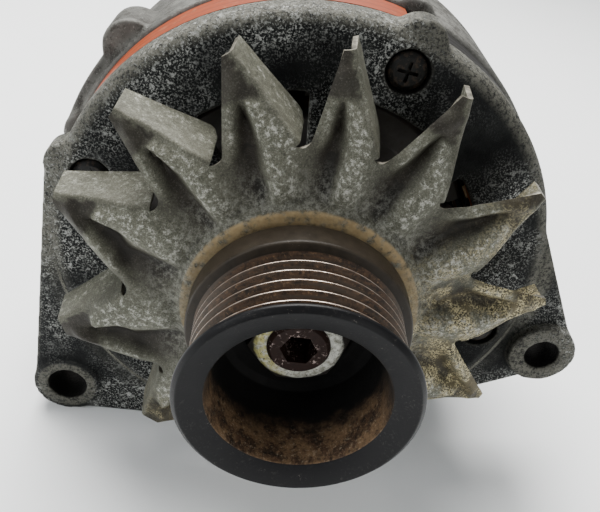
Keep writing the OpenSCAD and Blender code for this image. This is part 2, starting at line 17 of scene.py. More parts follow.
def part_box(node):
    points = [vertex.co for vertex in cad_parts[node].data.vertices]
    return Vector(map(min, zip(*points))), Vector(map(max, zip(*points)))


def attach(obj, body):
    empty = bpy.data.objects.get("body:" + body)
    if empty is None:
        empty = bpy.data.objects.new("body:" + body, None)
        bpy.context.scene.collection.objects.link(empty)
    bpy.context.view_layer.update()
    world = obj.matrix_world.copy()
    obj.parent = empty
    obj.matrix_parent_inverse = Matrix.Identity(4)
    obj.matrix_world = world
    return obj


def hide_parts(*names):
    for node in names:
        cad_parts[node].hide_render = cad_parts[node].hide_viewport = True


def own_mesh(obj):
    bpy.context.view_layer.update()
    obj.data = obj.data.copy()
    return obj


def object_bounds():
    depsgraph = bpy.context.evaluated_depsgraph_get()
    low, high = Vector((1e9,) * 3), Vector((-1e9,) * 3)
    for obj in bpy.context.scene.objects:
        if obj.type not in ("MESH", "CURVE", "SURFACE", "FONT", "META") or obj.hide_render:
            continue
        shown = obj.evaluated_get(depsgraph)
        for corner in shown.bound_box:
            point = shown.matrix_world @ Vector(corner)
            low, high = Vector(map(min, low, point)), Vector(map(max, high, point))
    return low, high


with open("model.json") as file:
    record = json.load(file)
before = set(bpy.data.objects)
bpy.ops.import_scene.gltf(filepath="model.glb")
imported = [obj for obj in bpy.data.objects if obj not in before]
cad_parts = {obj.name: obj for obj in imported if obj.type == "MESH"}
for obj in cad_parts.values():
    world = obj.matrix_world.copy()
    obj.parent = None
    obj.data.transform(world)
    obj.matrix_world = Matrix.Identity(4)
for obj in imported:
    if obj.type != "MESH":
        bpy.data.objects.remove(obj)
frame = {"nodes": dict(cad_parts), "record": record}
cad_low, cad_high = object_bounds()
MM = 0.001
WELD_MM = 0.002          # points closer than this are one point
VANE_WELD_MM = 0.02      # the same, where a vane meets the fan's sheet
MOUNTS = {m["name"]: m for m in frame["record"]["mounts"]}


def mount_mm(name):
    return Vector(MOUNTS[name]["pos_m"]) / MM


def box_mm(node):
    low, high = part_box(node)
    return Vector(low) / MM, Vector(high) / MM


def polar(r, degrees):
    a = math.radians(degrees)
    return Vector((r * math.cos(a), r * math.sin(a)))


def link(name, data):
    made = bpy.data.objects.new(name, data)
    bpy.context.collection.objects.link(made)
    return made


# ---- Camera, floor and light, in metres ----

CAMERA_PLACE = (-0.01624, -0.11995, 0.11355)
CAMERA_FORWARD = Vector((0.0820, 0.8233, -0.5618))
CAMERA_UP = Vector((-0.1188, 0.5677, 0.8147))
CAMERA_LENS = 42
CAMERA_SENSOR = 36
FLOOR_HALF = 3.0
# name, place, aimed at, size, power in watts, colour
PANELS = [
    ("sky_panel", (-0.12, 0.42, 0.85), (0, 0.05, 0), (0.8, 0.6), 33, (1.0, 0.99, 0.97)),
    ("side_panel", (-0.8, -0.35, 0.45), (0, 0.03, 0), (0.5, 0.5), 4.0, (0.96, 0.98, 1.0)),
    ("front_panel", (0.55, -0.75, 0.35), (0, 0.0, 0), (0.5, 0.4), 2.2, (1.0, 0.99, 0.97)),
]
WORLD_COLOUR = (0.90, 0.93, 0.95, 1)
WORLD_STRENGTH = 0.42


def make_camera():
    data = bpy.data.cameras.new("camera")
    data.sensor_width = CAMERA_SENSOR
    data.lens = CAMERA_LENS
    data.clip_start = 0.005
    data.clip_end = 20
    camera = link("camera", data)
    forward = CAMERA_FORWARD.normalized()
    right = forward.cross(CAMERA_UP).normalized()
    up = right.cross(forward)
    turn = Matrix((right, up, -forward)).transposed().to_4x4()
    camera.matrix_world = Matrix.Translation(CAMERA_PLACE) @ turn
    bpy.context.scene.camera = camera


def area_light(name, place, aim, size, power, colour):
    data = bpy.data.lights.new(name, "AREA")
    data.shape = "RECTANGLE"
    data.size, data.size_y = size
    data.energy = power
    data.color = colour
    light = link(name, data)
    light.location = place
    light.rotation_mode = "QUATERNION"
    light.rotation_quaternion = (Vector(aim) - Vector(place)).to_track_quat("-Z", "Y")


def make_stage():
    mesh = bpy.data.meshes.new("floor")
    half, z = FLOOR_HALF, cad_low.z
    corners = [(-half, -half, z), (half, -half, z), (half, half, z), (-half, half, z)]
    mesh.from_pydata(corners, [], [(0, 1, 2, 3)])
    floor = link("floor", mesh)
    floor.data.materials.append(floor_material())
    for panel in PANELS:
        area_light(*panel)
    world = bpy.data.worlds.new("studio")
    bpy.context.scene.world = world
    world.use_nodes = True
    background = world.node_tree.nodes["Background"]
    background.inputs["Color"].default_value = WORLD_COLOUR
    background.inputs["Strength"].default_value = WORLD_STRENGTH


# ---- Materials ----


class Shader:
    """A material's nodes. Each call makes its nodes and returns their output. Lengths are in millimetres."""

    def __init__(self, name):
        self.material = bpy.data.materials.new(name)
        self.material.use_nodes = True
        self.tree = self.material.node_tree
        self.bsdf = self.tree.nodes["Principled BSDF"]
        self.place = self.node("ShaderNodeTexCoord").outputs["Object"]

    def node(self, kind, **settings):
        made = self.tree.nodes.new(kind)
        for key, value in settings.items():
            setattr(made, key, value)
        return made

    def feed(self, socket, value):
        if isinstance(value, bpy.types.NodeSocket):
            self.tree.links.new(value, socket)
        elif isinstance(value, (tuple, list)) and len(value) == 3 and socket.type == "RGBA":
            socket.default_value = (*value, 1)
        else:
            socket.default_value = value

    def noise(self, size, detail=4.0, roughness=0.6, place=None):
        """Cloudy noise, 0 to 1, with features of about this size."""
        made = self.node("ShaderNodeTexNoise")
        self.feed(made.inputs["Vector"], place or self.place)
        made.inputs["Scale"].default_value = 1 / (size * MM)
        made.inputs["Detail"].default_value = detail
        made.inputs["Roughness"].default_value = roughness
        return made.outputs["Fac"]

    def spots(self, low, high, size, detail=4.0, roughness=0.6):
        """Noise stepped from 0 at low to 1 at high, which leaves spots."""
        return self.step(self.noise(size, detail, roughness), low, high)

    def bands(self, pitch, direction, distortion):
        """Parallel bands of this pitch, 0 to 1."""
        made = self.node("ShaderNodeTexWave", wave_type="BANDS", bands_direction=direction)
        self.feed(made.inputs["Vector"], self.place)
        made.inputs["Scale"].default_value = 1 / (pitch * MM) / 20
        made.inputs["Distortion"].default_value = distortion
        return made.outputs["Fac"]

    def stretched(self, x, y, z):
        """The place, scaled along each axis: a value under 1 draws the pattern out that way."""
        made = self.node("ShaderNodeMapping")
        self.feed(made.inputs["Vector"], self.place)
        made.inputs["Scale"].default_value = (x, y, z)
        return made.outputs["Vector"]

    def math(self, operation, a, b=0.0):
        made = self.node("ShaderNodeMath", operation=operation)
        self.feed(made.inputs[0], a)
        self.feed(made.inputs[1], b)
        return made.outputs[0]

    def plus(self, a, b):
        return self.math("ADD", a, b)

    def less(self, a, b):
        return self.math("SUBTRACT", a, b)

    def times(self, first, *others):
        for other in others:
            first = self.math("MULTIPLY", first, other)
        return first

    def most(self, first, *others):
        for other in others:
            first = self.math("MAXIMUM", first, other)
        return first

    def step(self, value, low, high):
        """Smooth step from 0 at low to 1 at high; high may be the smaller."""
        made = self.node("ShaderNodeMapRange", interpolation_type="SMOOTHSTEP")
        self.feed(made.inputs["Value"], value)
        made.inputs["From Min"].default_value = min(low, high)
        made.inputs["From Max"].default_value = max(low, high)
        made.inputs["To Min"].default_value = 0.0 if low < high else 1.0
        made.inputs["To Max"].default_value = 1.0 if low < high else 0.0
        return made.outputs["Result"]

    def mix(self, factor, a, b):
        """Colour a where the factor is 0, b where it is 1."""
        made = self.node("ShaderNodeMix", data_type="RGBA")
        self.feed(made.inputs[0], factor)
        self.feed(made.inputs[6], a)
        self.feed(made.inputs[7], b)
        return made.outputs[2]

    def cover(self, under, top, factor, share=1.0):
        """Lays a colour over another where the factor is 1, as thickly as the share says."""
        return self.mix(factor if share == 1.0 else self.times(factor, share), under, top)

    def blend(self, factor, a, b):
        """Number a where the factor is 0, b where it is 1."""
        made = self.node("ShaderNodeMix", data_type="FLOAT")
        self.feed(made.inputs[0], factor)
        self.feed(made.inputs[2], a)
        self.feed(made.inputs[3], b)
        return made.outputs[0]

    def along(self, axis):
        """Distance along an axis."""
        made = self.node("ShaderNodeSeparateXYZ")
        self.feed(made.inputs[0], self.place)
        return self.math("DIVIDE", made.outputs["XYZ".index(axis)], MM)

    def radius_from(self, x=0.0, z=0.0):
        """Distance from a line along Y."""
        dx = self.less(self.along("X"), x)
        dz = self.less(self.along("Z"), z)
        return self.math("SQRT", self.plus(self.times(dx, dx), self.times(dz, dz)))

    def pointed(self, low, high):
        """Outside edges of a dense mesh where high is the larger, inside corners where it is the smaller."""
        return self.step(self.node("ShaderNodeNewGeometry").outputs["Pointiness"], low, high)

    def facing(self, axis, low, high):
        """1 where the surface faces along an axis: the step of one part of its normal, in object space."""
        made = self.node("ShaderNodeSeparateXYZ")
        self.feed(made.inputs[0], self.node("ShaderNodeTexCoord").outputs["Normal"])
        return self.step(made.outputs["XYZ".index(axis)], low, high)

    def attribute(self, name):
        return self.node("ShaderNodeAttribute", attribute_name=name).outputs["Fac"]

    def bump(self, height, depth, under=None):
        made = self.node("ShaderNodeBump")
        self.feed(made.inputs["Height"], height)
        made.inputs["Distance"].default_value = depth * MM
        if under is not None:
            self.feed(made.inputs["Normal"], under)
        return made.outputs["Normal"]

    def finish(self, colour, roughness, normal, metallic=0.0, specular=0.5):
        self.feed(self.bsdf.inputs["Base Color"], colour)
        self.feed(self.bsdf.inputs["Roughness"], roughness)
        self.feed(self.bsdf.inputs["Metallic"], metallic)
        self.feed(self.bsdf.inputs["Normal"], normal)
        self.bsdf.inputs["Specular IOR Level"].default_value = specular
        return self.material


EDGES = (0.51, 0.58)          # pointiness, for Shader.pointed
# pointiness of inside corners, which both castings darken as painted shade
SHADE_CORNERS = (0.49, 0.43)
BOLT_CIRCLE_R = 61.2
BOLT_ANGLES = [72.7, 162.7, 252.7, 342.7]
BOLT_WELL_R = 5.6
PIVOT_HOLE_R = 6.1
ADJUSTER_HOLE_R = 5.25
PIVOT_FACE = (9.8, 8.8)       # edge of the rubbed ring round a hole: radius where it ends, and where it is full
ADJUSTER_FACE = (10.6, 9.6)
RIM_INNER = (66.0, 69.0)      # the casting's rim: radii of its inner and outer fade
RIM_OUTER = (76.0, 73.0)
SEAM_INNER = (69.2, 69.7)     # a fine raised line round the lower face
SEAM_OUTER = (70.8, 70.3)
HOLE_SHADE = (0.004, 0.0035, 0.003)


def floor_material():
    s = Shader("floor_paper")
    colour = s.mix(s.noise(60, 3), (0.86, 0.875, 0.88), (0.885, 0.90, 0.905))
    return s.finish(colour, 0.75, s.bump(s.noise(0.6, 2), 0.01), specular=0.3)


def front_casting():
    """Blackened cast aluminium, salted with white corrosion, rubbed pale along the edges and pale along the rim, most
    at the top; painted shade darkens its inside corners, holes and bolt wells.
    """
    s = Shader("front_casting")
    pivot, adjuster = mount_mm("front_pivot_bore"), mount_mm("adjuster_bore")
    radius = s.radius_from()
    patch = s.noise(26, 3, 0.55)
    grain = s.noise(0.55, 3, 0.75)

    dark = s.mix(s.spots(0.38, 0.66, 9, 5, 0.65), (0.0018, 0.0022, 0.0024), (0.0100, 0.0110, 0.0105))
    fine = s.times(s.step(grain, 0.50, 0.63), s.step(patch, 0.33, 0.60))
    coarse = s.times(s.spots(0.51, 0.60, 2.2, 6, 0.82), s.step(patch, 0.38, 0.58))
    salt = s.most(s.times(fine, 0.60), s.times(coarse, s.blend(grain, 0.3, 1.0)))
    crust = s.mix(s.noise(2.5, 2), (0.20, 0.205, 0.19), (0.70, 0.71, 0.67))
    colour = s.mix(salt, dark, crust)

    low_down = s.step(s.along("Z"), -4, -22)
    # the pale rim is full at the top and fades to 15% towards the bottom
    rim = s.times(s.step(radius, *RIM_INNER), s.step(radius, *RIM_OUTER), s.blend(low_down, 1.0, 0.15))
    seam = s.times(s.step(radius, *SEAM_INNER), s.step(radius, *SEAM_OUTER))
    seam = s.times(seam, low_down, s.facing("Y", -0.7, -0.95))
    ear_faces = s.most(s.step(s.radius_from(pivot.x, pivot.z), *PIVOT_FACE),
                       s.step(s.radius_from(adjuster.x, adjuster.z), *ADJUSTER_FACE))
    side = s.less(1.0, s.facing("Y", -0.35, -0.75))
    pale = s.most(s.times(rim, 0.85), s.times(s.pointed(*EDGES), 0.9), s.times(side, 0.55), s.times(ear_faces, 0.85))
    pale = s.times(pale, s.spots(0.36, 0.58, 1.0, 5, 0.85))
    pale = s.most(pale, s.times(seam, s.step(grain, 0.36, 0.50)))
    bare = s.mix(s.noise(4), (0.055, 0.054, 0.045), (0.185, 0.180, 0.150))
    colour = s.cover(colour, bare, pale)

    # painted shade: inside corners darkened to near-black
    colour = s.cover(colour, (0.005, 0.005, 0.004), s.pointed(*SHADE_CORNERS), 0.7)
    # painted shade: the pivot and adjuster holes and the bolt wells are painted near-black
    wells = [(pivot.x, pivot.z, PIVOT_HOLE_R), (adjuster.x, adjuster.z, ADJUSTER_HOLE_R)]
    wells += [(*polar(BOLT_CIRCLE_R, a), BOLT_WELL_R) for a in BOLT_ANGLES]
    for x, z, r in wells:
        colour = s.cover(colour, HOLE_SHADE, s.step(s.radius_from(x, z), r + 0.35, r - 0.05))
    normal = s.bump(grain, 0.09, s.bump(s.noise(1.1, 5, 0.7), 0.28))
    normal = s.bump(seam, 0.4, normal)
    return s.finish(colour, s.blend(grain, 0.50, 0.82), normal, s.blend(pale, 0.0, 0.3), 0.12)


def rear_casting():
    """Bare cast aluminium gone grey-beige, with painted shade in its corners."""
    s = Shader("rear_casting")
    grain = s.noise(0.6, 3, 0.75)
    colour = s.mix(s.spots(0.32, 0.68, 14, 5, 0.6), (0.055, 0.054, 0.048), (0.140, 0.138, 0.124))
    colour = s.cover(colour, (0.020, 0.017, 0.013), s.spots(0.47, 0.60, 4, 6, 0.8), 0.85)
    colour = s.cover(colour, (0.27, 0.27, 0.25), s.step(grain, 0.58, 0.68), 0.5)
    colour = s.cover(colour, (0.26, 0.255, 0.235), s.pointed(*EDGES), 0.6)
    # painted shade: inside corners darkened
    colour = s.cover(colour, (0.03, 0.026, 0.022), s.pointed(*SHADE_CORNERS), 0.8)
    normal = s.bump(grain, 0.07, s.bump(s.noise(1.2, 5, 0.7), 0.25))
    return s.finish(colour, s.blend(grain, 0.5, 0.75), normal, 0.3, 0.35)


def fan_sheet():
    """Chromated sheet gone olive-grey: scaly on the raised pads, brown tarnish deepened by painted shade in the
    creases and on the blades' flat ends, yellow at the hub.
    """
    s = Shader("fan_sheet")
    radius = s.radius_from()
    grain = s.noise(0.42, 3, 0.8)
    streak = s.noise(1.5, 6, 0.84)
    speck = s.noise(0.5, 2, 0.65)
    shift = s.times(s.less(s.noise(5, 5, 0.7), 0.5), 1.3)
    relief_shade_level = s.plus(s.attribute(RELIEF_AND_SHADE), shift)
    # painted shade: the crease and flat-end colour, brown tarnish darkened far below the pads' grey
    brown = s.mix(s.noise(4, 5, 0.7), (0.0060, 0.0048, 0.0034), (0.024, 0.0195, 0.0135))
    grey = s.mix(s.noise(14), (0.056, 0.058, 0.042), (0.135, 0.133, 0.100))
    colour = s.mix(s.step(relief_shade_level, -0.9, 0.7), brown, grey)

    lean = s.less(s.along("X"), s.along("Z"))
    tarnish = s.times(s.step(lean, -4, 42), s.spots(0.34, 0.60, 7))
    colour = s.cover(colour, (0.150, 0.122, 0.060), tarnish, 0.6)
    gilt = s.times(tarnish, s.step(s.plus(s.noise(4, 3), s.times(relief_shade_level, 0.12)), 0.35, 0.52))
    colour = s.cover(colour, (0.47, 0.41, 0.235), s.times(gilt, s.step(speck, 0.49, 0.54)))
    colour = s.cover(colour, (0.012, 0.010, 0.006), s.times(gilt, 0.9, s.step(speck, 0.46, 0.41)))

    scale = s.times(s.step(streak, 0.50, 0.62), s.step(relief_shade_level, 0.0, 0.8))
    colour = s.cover(colour, (0.46, 0.46, 0.41), scale, 0.80)
    chalk = s.times(s.step(grain, 0.53, 0.66), s.blend(s.step(relief_shade_level, -0.6, 0.6), 0.16, 0.46))
    colour = s.cover(colour, (0.24, 0.235, 0.195), chalk)
    colour = s.cover(colour, (0.014, 0.012, 0.009), s.step(grain, 0.47, 0.34), 0.65)
    colour = s.cover(colour, (0.012, 0.010, 0.008), s.step(streak, 0.44, 0.34), 0.5)
    # painted shade: inside creases darkened to near-black
    colour = s.cover(colour, (0.0065, 0.0055, 0.0040), s.pointed(0.495, 0.455), 0.75)

    root = s.times(s.step(radius, 44, 33), s.step(streak, 0.44, 0.62))
    colour = s.cover(colour, (0.27, 0.27, 0.235), root, 0.45)
    hub = s.times(s.step(radius, 31.0, 30.3), s.spots(0.30, 0.55, 2.5))
    hub = s.times(hub, s.blend(s.step(s.along("Z"), 0, 24), 0.45, 1.0))
    tan = s.mix(s.noise(1.2), (0.20, 0.125, 0.055), (0.36, 0.28, 0.145))
    colour = s.cover(colour, tan, hub, 0.9)
    normal = s.bump(grain, 0.05, s.bump(s.noise(0.9, 5, 0.75), 0.14))
    return s.finish(colour, s.blend(grain, 0.45, 0.70), normal, 0.15, 0.22)


def cut_edge():
    """The sheet's sheared edge, rubbed bright."""
    s = Shader("cut_edge")
    colour = s.mix(s.spots(0.35, 0.65, 2.0, 4, 0.7), (0.070, 0.064, 0.050), (0.25, 0.235, 0.19))
    return s.finish(colour, s.blend(s.noise(0.6, 3), 0.35, 0.6), s.bump(s.noise(0.5, 3), 0.05), 0.6)


def rust_colour(s, size=1.6):
    deep = s.mix(s.spots(0.36, 0.62, size, 5, 0.75), (0.011, 0.008, 0.006), (0.072, 0.040, 0.022))
    return s.cover(deep, (0.19, 0.115, 0.062), s.spots(0.54, 0.66, size * 0.45, 4, 0.8), 0.8)


def pulley_black():
    """Black oxide, dusty, with a few scratches and nicks."""
    s = Shader("pulley_black")
    colour = s.mix(s.noise(12), (0.0022, 0.0022, 0.0026), (0.0060, 0.0060, 0.0068))
    dust = s.times(s.spots(0.52, 0.72, 0.7, 4, 0.8), s.spots(0.40, 0.65, 9, 3))
    colour = s.cover(colour, (0.10, 0.095, 0.085), dust, 0.30)
    brown = s.mix(s.noise(2.5, 5, 0.7), (0.006, 0.005, 0.004), (0.040, 0.031, 0.021))
    colour = s.cover(colour, brown, s.step(s.along("Y"), 9.5, 11.0))
    colour = s.cover(colour, (0.34, 0.31, 0.27), s.spots(0.64, 0.70, 2.2, 6, 0.9), 0.5)
    normal = s.bump(s.noise(0.5, 4, 0.7), 0.03)
    return s.finish(colour, s.blend(s.noise(5), 0.30, 0.48), normal, specular=0.13)


def groove_rust():
    """Belt grooves: thin brown rust with turned lines round the pulley, lighter towards the left and right sides as
    painted light.
    """
    s = Shader("groove_rust")
    lines = s.noise(0.5, 3, 0.6, s.stretched(0.03, 1.6, 0.03))
    colour = s.mix(s.step(lines, 0.42, 0.7), rust_colour(s), (0.050, 0.038, 0.028))
    # painted light: the grooves are drawn lighter towards the left and right of the pulley
    side = s.step(s.math("ABSOLUTE", s.along("X")), 15, 26)
    colour = s.cover(colour, (0.15, 0.130, 0.11), side, 0.35)
    return s.finish(colour, s.blend(lines, 0.45, 0.70), s.bump(lines, 0.05), 0.25, 0.3)


def ridge_bright():
    """Ridge tips polished by the belt."""
    s = Shader("ridge_bright")
    colour = s.mix(s.spots(0.3, 0.65, 3), (0.20, 0.155, 0.125), (0.46, 0.39, 0.335))
    return s.finish(colour, 0.34, s.bump(s.noise(0.6, 3), 0.02), 0.8)


def cup_rust():
    """Inside of the pulley's cup: rust at the mouth and low down; painted shade turns it black further in and towards
    the top.
    """
    s = Shader("cup_rust")
    speck = s.noise(0.8, 3, 0.7)
    rust = s.mix(s.spots(0.42, 0.60, 5, 5, 0.7), rust_colour(s, 2.0), (0.150, 0.092, 0.048))
    rust = s.cover(rust, (0.020, 0.014, 0.010), s.step(speck, 0.46, 0.36), 0.6)
    rust = s.cover(rust, (0.30, 0.24, 0.165), s.step(speck, 0.56, 0.68), 0.5)
    # painted shade: the cup goes near-black further in and towards the top, leaving rust mostly near the mouth, low
    # down
    depth = s.plus(s.along("Y"), s.times(s.noise(7, 5, 0.65), 12))
    low_down = s.step(s.along("Z"), 6, -12)
    unshaded_rust = s.times(s.step(depth, 9.5, 1.0), s.blend(low_down, 0.10, 1.0))
    colour = s.mix(unshaded_rust, (0.0045, 0.0042, 0.004), rust)
    normal = s.bump(s.noise(0.9, 5, 0.75), 0.10)
    return s.finish(colour, s.blend(s.noise(3, 3), 0.55, 0.85), normal, specular=0.2)


def plated(name, pale, dull, amount=0.6, rough=0.38, metallic=0.7):
    """Plated steel gone dull, with stains."""
    s = Shader(name)
    colour = s.mix(s.noise(4), dull, pale)
    colour = s.cover(colour, (0.10, 0.08, 0.06), s.spots(0.52, 0.66, 1.6, 5, 0.75), amount)
    normal = s.bump(s.noise(0.6, 4, 0.7), 0.04)
    return s.finish(colour, s.blend(s.noise(1.2, 3), rough - 0.08, rough + 0.2), normal, metallic)


def nut_material():
    """Zinc gone chalky on the nut's face, tinted yellow on one side, dark and rusty round the outside."""
    s = Shader("nut_zinc")
    colour = s.mix(s.spots(0.36, 0.60, 1.6, 4, 0.7), (0.22, 0.215, 0.17), (0.60, 0.60, 0.54))
    left = s.step(s.along("X"), 2, -8)
    colour = s.cover(colour, (0.42, 0.39, 0.15), s.times(left, s.spots(0.40, 0.56, 2.5)))
    colour = s.cover(colour, (0.035, 0.026, 0.018), s.spots(0.54, 0.62, 0.9, 5, 0.8), 0.85)
    radius = s.plus(s.radius_from(), s.times(s.noise(2), 1.6))
    dark = s.most(s.step(radius, 11.3, 12.0), s.step(radius, 8.6, 8.0), s.step(s.along("Y"), 8.0, 9.2))
    colour = s.cover(colour, (0.014, 0.010, 0.007), dark)
    return s.finish(colour, s.blend(s.noise(1, 3), 0.5, 0.8), s.bump(s.noise(0.7), 0.12), 0.15)


def shaft_material():
    """Turned steel: rust-brown and flecked at the threaded end, clean behind."""
    s = Shader("shaft_steel")
    rust = s.mix(s.noise(1.2, 5, 0.8), (0.004, 0.0022, 0.0018), (0.030, 0.013, 0.009))
    fleck = s.times(s.spots(0.56, 0.62, 0.8, 3, 0.8), s.spots(0.46, 0.58, 3.5, 3))
    rust = s.cover(rust, (0.42, 0.33, 0.30), fleck)
    turned = s.noise(0.6, 3, 0.6, s.stretched(0.1, 1.5, 0.1))
    clean = s.mix(turned, (0.30, 0.29, 0.27), (0.48, 0.47, 0.45))
    end = s.step(s.along("Y"), 24, 18)
    colour = s.mix(end, clean, rust)
    return s.finish(colour, s.blend(end, 0.32, 0.6), s.bump(s.noise(0.7), 0.06), s.blend(end, 0.95, 0.0), 0.15)


def lamination():
    """Stacked sheets under orange-brown lacquer, dusty in places, near-black towards +X."""
    s = Shader("lamination")
    sheets = s.bands(0.65, "Y", 0.4)
    colour = s.mix(s.noise(10), (0.17, 0.026, 0.0045), (0.25, 0.044, 0.010))
    colour = s.cover(colour, (0.27, 0.105, 0.050), s.spots(0.54, 0.70, 3, 5, 0.7), 0.5)
    colour = s.cover(colour, (0.10, 0.022, 0.008), s.step(sheets, 0.25, 0.05), 0.35)
    # darker towards +X: near-black past about 28 mm
    dark_towards_plus_x = s.plus(s.along("X"), s.times(s.noise(8), 8))
    colour = s.cover(colour, (0.006, 0.005, 0.004), s.step(dark_towards_plus_x, 26, 30))
    return s.finish(colour, s.blend(s.noise(2, 3), 0.42, 0.6), s.bump(sheets, 0.06), specular=0.25)


def copper():
    """Enamelled wire packed in rows under varnish."""
    s = Shader("copper_wire")
    strand = s.bands(1.0, "DIAGONAL", 2.0)
    colour = s.mix(strand, (0.20, 0.06, 0.02), (0.52, 0.20, 0.08))
    colour = s.cover(colour, (0.10, 0.045, 0.02), s.spots(0.55, 0.7, 4))
    return s.finish(colour, 0.35, s.bump(strand, 0.3), 0.6)


def moulded(name, colour, lighter, rough=0.5):
    """Moulded plastic or resin with a fine skin and dust."""
    s = Shader(name)
    tone = s.mix(s.noise(9), colour, lighter)
    tone = s.cover(tone, (0.22, 0.20, 0.17), s.spots(0.56, 0.72, 1.2, 5, 0.8), 0.35)
    return s.finish(tone, s.blend(s.noise(3, 3), rough - 0.1, rough + 0.15), s.bump(s.noise(0.5, 3), 0.03))


def black_screw():
    """Blackened screw heads under oil and dust."""
    s = Shader("black_screw")
    colour = s.mix(s.noise(2, 5, 0.7), (0.003, 0.003, 0.003), (0.012, 0.012, 0.011))
    colour = s.cover(colour, (0.16, 0.15, 0.13), s.spots(0.60, 0.72, 0.8, 4, 0.8), 0.45)
    colour = s.cover(colour, (0.045, 0.030, 0.020), s.spots(0.50, 0.62, 1.4, 4, 0.75), 0.7)
    colour = s.cover(colour, (0.20, 0.19, 0.17), s.pointed(0.53, 0.62), 0.3)
    normal = s.bump(s.noise(0.5), 0.08)
    return s.finish(colour, s.blend(s.noise(1.5, 3), 0.35, 0.6), normal, specular=0.15)


# ---- Meshes ----

SMOOTH_ANGLE = 35
BEVEL_ANGLE = 40


def new_object(name, verts_mm, faces, materials, body, smooth_angle):
    mesh = bpy.data.meshes.new(name)
    mesh.from_pydata([tuple(v * MM for v in p) for p in verts_mm], [], faces)
    mesh.validate()
    for m in materials:
        mesh.materials.append(m)
    made = link(name, mesh)
    shade(mesh, smooth_angle)
    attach(made, body)
    return made


def shade(mesh, smooth_angle):
    mesh.polygons.foreach_set("use_smooth", [True] * len(mesh.polygons))
    mesh.set_sharp_from_angle(angle=math.radians(smooth_angle))


def fix_normals(piece):
    bm = bmesh.new()
    bm.from_mesh(piece.data)
    bmesh.ops.remove_doubles(bm, verts=bm.verts, dist=WELD_MM * MM)
    bmesh.ops.recalc_face_normals(bm, faces=bm.faces)
    bm.to_mesh(piece.data)
    bm.free()
    shade(piece.data, SMOOTH_ANGLE)


def add_bevel(piece, width_mm, angle):
    bevel = piece.modifiers.new("bevel", "BEVEL")
    bevel.width = width_mm * MM
    bevel.segments = 2
    bevel.limit_method = "ANGLE"
    bevel.angle_limit = math.radians(angle)


def dress(node, material, bevel_mm):
    """Gives a CAD node its material, and rounds its edges."""
    piece = frame["nodes"][node]
    piece.data.materials.clear()
    piece.data.materials.append(material)
    if bevel_mm:
        weld = piece.modifiers.new("weld", "WELD")
        weld.merge_threshold = WELD_MM * MM
        add_bevel(piece, bevel_mm, BEVEL_ANGLE)


def revolve(sections, turns):
    """Turns an outline of (radius, y, material) points about Y. A point's material is that of the stretch after it."""
    verts, faces, kinds = [], [], []
    n = len(sections)
    for k in range(turns):
        a = 2 * math.pi * k / turns
        verts += [(r * math.cos(a), y, r * math.sin(a)) for r, y, _ in sections]
    for k in range(turns):
        here, there = k * n, (k + 1) % turns * n
        for i in range(n - 1):
            faces.append((here + i, here + i + 1, there + i + 1, there + i))
            kinds.append(sections[i][2])
    return verts, faces, kinds


def smooth(x, low, high):
    """Smooth step from 0 at low to 1 at high."""
    t = min(1.0, max(0.0, (x - low) / (high - low)))
    return t * t * (3 - 2 * t)


# ---- Fan: the sheet, as a height over each point of its plane ----

BLADE_ANGLES = [20.3, 49.3, 74.3, 97.3, 123.3, 147.8, 182.8, 219.3, 252.3, 285.3, 318.3, 351.3]
FAN_R = 66.8
NOTCH_R = 45.6          # where the notches between the blades begin
NOTCH_ROUND = 2.05      # radius of a notch's round end
NOTCH_CENTRE_R = NOTCH_R + 1.3
NOTCH_TURN = -0.3       # turn of a notch's centre against its blade's start, in degrees
HUB_R = 30.4
BORE_R = 9.2
HUB_Y = box_mm("fan")[0].y
VANE_Y = box_mm("fan")[1].y
SHEET = 1.3
SHEET_BEVEL = 0.22
SHEET_BEVEL_ANGLE = 55
HUB_STEP = 1.9          # step back at the hub's edge, and the width it takes
HUB_STEP_WIDTH = 1.7
CONE_DROP = 6.7         # how far the cone falls back from the hub to the tips
TIP_TURN = 14.2         # turn of a blade's tip against its notch, in degrees
TIP_WIDTH = 1.3         # width of a tip, in degrees
BLUNT_TIP_WIDTH = 3.8
BLUNT_BLADES = (180, 250)
PAD_DEPTH = 2.5         # height of a blade's raised pad, and depth of the crease beside it
PAD_END_R = 57.6        # beyond this radius a blade is flat
PAD_END_FADE = 1.6
PAD_SLOPE_WIDTH = 3.6   # a pad rises from the fold line over this distance
CREASE_END = (50, 66)   # radii over which the crease runs out
BEAD_DEPTH = 2.0        # height of the rib along the free edge
BEAD_TOP = 2.3          # from the free edge to the top of the rib
BEAD_END = (61, 65.5)
BLADE_SECTION = [(0.0, 1.0), (0.33, 1.0), (0.54, -1.0), (1.0, 0.12)]
ROOT_SECTION = [(0.0, 0.12), (0.20, 1.0), (0.38, 1.0), (0.58, -1.0), (1.0, 0.12)]
RELIEF_AND_SHADE = "relief"       # the attribute that tells the material what is raised; the material paints shade by it, darkening the creases and the blades' flat ends
LEAD = 8                # a blade may own points this far before its start, in degrees
PAD_START = (HUB_R - 0.3, 36.5)
FRONT_SAMPLE_R = 35     # a face at this radius lies on the sheet's front


def dish(r):
    """The fan's front face before embossing: a flat hub with a stepped edge, then a gentle cone."""
    if r < HUB_R:
        return HUB_Y
    step = HUB_STEP * smooth(r, HUB_R, HUB_R + HUB_STEP_WIDTH)
    return HUB_Y + step + CONE_DROP * max(0.0, r - HUB_R - 1) / (FAN_R - HUB_R - 1)


def through(points, x):
    """Straight lines through points, with softened corners."""
    total = 0.0
    shifts = (-0.02, -0.01, 0.0, 0.01, 0.02)
    for shift in shifts:
        at = min(1.0, max(0.0, x + shift))
        for (x0, y0), (x1, y1) in zip(points, points[1:]):
            if x0 <= at <= x1:
                total += y0 + (y1 - y0) * (at - x0) / (x1 - x0)
                break
    return total / len(shifts)


